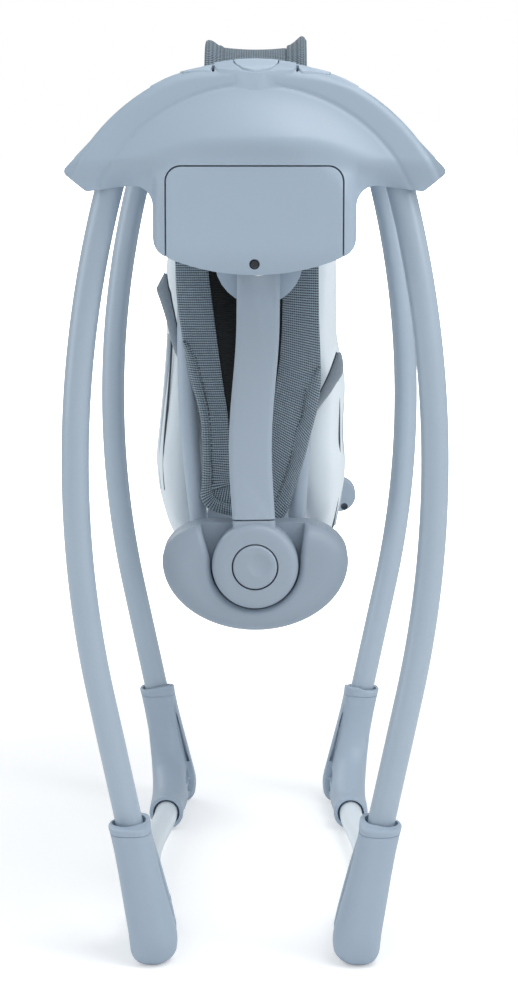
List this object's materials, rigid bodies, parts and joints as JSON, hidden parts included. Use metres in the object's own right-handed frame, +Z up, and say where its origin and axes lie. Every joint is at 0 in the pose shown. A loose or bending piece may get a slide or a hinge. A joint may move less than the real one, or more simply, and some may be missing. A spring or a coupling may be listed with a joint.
{
  "type": "electric baby swing",
  "caption": "Folding electric baby swing shown folded: bowed tube legs on elbow feet, moulded motor housings, curved hanging arms and a seat between them.",
  "frame": {"origin": "on the floor, midway between the four feet", "axes": "+Z up, +Y from the near frame with the battery door to the far frame, +X to the right in the pictured side view"},
  "size_m": [0.2698, 0.516, 0.6613],
  "materials": {
    "shell": "satin blue-grey moulding",
    "arm": "satin grey moulding",
    "bracket": "satin grey moulding",
    "button": "satin pale grey moulding",
    "leg_paint": "satin powder coat",
    "foot": "satin moulding",
    "cross_tube": "pale silver coat",
    "steel": "bright steel",
    "rail_paint": "satin grey coat",
    "nylon": "natural nylon",
    "cell": "plain sleeve",
    "board": "laminate",
    "cloth": "pale satin cloth",
    "woven": "slate open weave"
  },
  "bodies": {
    "housings": {"near_housing_shell": "shell", "near_housing_cover": "shell", "far_housing_shell": "shell", "far_housing_cover": "shell", "battery_door": "shell", "door_screw": "steel", "battery_1": "cell", "battery_2": "cell", "battery_3": "cell", "battery_4": "cell", "contact_left": "steel", "contact_right": "steel", "circuit_board": "board", "drive_motor": "steel", "near_leg_pin_left": "steel", "near_leg_pin_right": "steel", "far_leg_pin_left": "steel", "far_leg_pin_right": "steel"},
    "left_legs": {"left_leg_near": "leg_paint", "left_leg_far": "leg_paint", "left_foot_near": "foot", "left_foot_far": "foot", "left_cross_tube": "cross_tube"},
    "right_legs": {"right_leg_near": "leg_paint", "right_leg_far": "leg_paint", "right_foot_near": "foot", "right_foot_far": "foot", "right_cross_tube": "cross_tube"},
    "swing": {"swing_arm_near": "arm", "swing_arm_far": "arm", "swing_axle_near": "steel", "swing_axle_far": "steel", "hub_near": "arm", "hub_far": "arm", "drive_sector": "nylon"},
    "pinion": {"drive_pinion": "nylon"},
    "brackets": {"seat_bracket_near": "bracket", "seat_bracket_far": "bracket"},
    "backrest": {"backrest_frame": "rail_paint", "backrest_pad": "cloth", "backrest_band_near": "woven", "backrest_band_far": "woven", "top_cloth_band": "woven"},
    "seat": {"seat_frame": "rail_paint", "seat_pad": "cloth", "seat_band_near": "woven", "seat_band_far": "woven", "top_cloth_fold": "woven"},
    "control_button_left": {"control_button_left": "button"},
    "control_button_centre": {"control_button_centre": "button"},
    "control_button_right": {"control_button_right": "button"},
    "leg_lock_near": {"leg_lock_near": "button"},
    "leg_lock_far": {"leg_lock_far": "button"},
    "hub_button_near": {"hub_button_near": "arm"},
    "hub_button_far": {"hub_button_far": "arm"}
  },
  "joints": [
    {"name": "left_legs_fold", "type": "hinge", "parent": "housings", "child": "left_legs", "pos_m": [-0.0955, 0, 0.571], "axis": [0, 1, 0], "range_deg": [0, 28]},
    {"name": "right_legs_fold", "type": "hinge", "parent": "housings", "child": "right_legs", "pos_m": [0.0955, 0, 0.571], "axis": [0, -1, 0], "range_deg": [0, 28]},
    {"name": "swing_turn", "type": "hinge", "parent": "housings", "child": "swing", "pos_m": [0.0025, 0, 0.501], "axis": [0, 1, 0], "range_deg": [-12, 12]},
    {"name": "pinion_turn", "type": "hinge", "parent": "housings", "child": "pinion", "pos_m": [0.0025, -0.214, 0.582], "axis": [0, 1, 0], "range_deg": [-98, 98]},
    {"name": "seat_tilt", "type": "hinge", "parent": "swing", "child": "brackets", "pos_m": [0, 0, 0.286], "axis": [0, 1, 0], "range_deg": [-25, 25]},
    {"name": "backrest_fold", "type": "hinge", "parent": "brackets", "child": "backrest", "pos_m": [-0.0395, 0, 0.3], "axis": [0, -1, 0], "range_deg": [0, 50]},
    {"name": "seat_fold", "type": "hinge", "parent": "brackets", "child": "seat", "pos_m": [0.0285, 0, 0.3], "axis": [0, 1, 0], "range_deg": [0, 70]},
    {"name": "press_left", "type": "slide", "parent": "housings", "child": "control_button_left", "axis": [0, 0, -1], "range_m": [0, 0.0012], "stiffness_N_per_m": 400, "springref_m": -0.002},
    {"name": "press_centre", "type": "slide", "parent": "housings", "child": "control_button_centre", "axis": [0, 0, -1], "range_m": [0, 0.0012], "stiffness_N_per_m": 400, "springref_m": -0.002},
    {"name": "press_right", "type": "slide", "parent": "housings", "child": "control_button_right", "axis": [0, 0, -1], "range_m": [0, 0.0012], "stiffness_N_per_m": 400, "springref_m": -0.002},
    {"name": "press_leg_lock_near", "type": "slide", "parent": "housings", "child": "leg_lock_near", "axis": [0, -1, 0], "range_m": [0, 0.003], "stiffness_N_per_m": 400, "springref_m": -0.002},
    {"name": "press_hub_near", "type": "slide", "parent": "swing", "child": "hub_button_near", "axis": [0, 1, 0], "range_m": [0, 0.003], "stiffness_N_per_m": 400, "springref_m": -0.002},
    {"name": "press_leg_lock_far", "type": "slide", "parent": "housings", "child": "leg_lock_far", "axis": [0, 1, 0], "range_m": [0, 0.003], "stiffness_N_per_m": 400, "springref_m": -0.002},
    {"name": "press_hub_far", "type": "slide", "parent": "swing", "child": "hub_button_far", "axis": [0, -1, 0], "range_m": [0, 0.003], "stiffness_N_per_m": 400, "springref_m": -0.002}
  ],
  "couplings": [
    {"joint": "pinion_turn", "follows": "swing_turn", "ratio": -8}
  ]
}
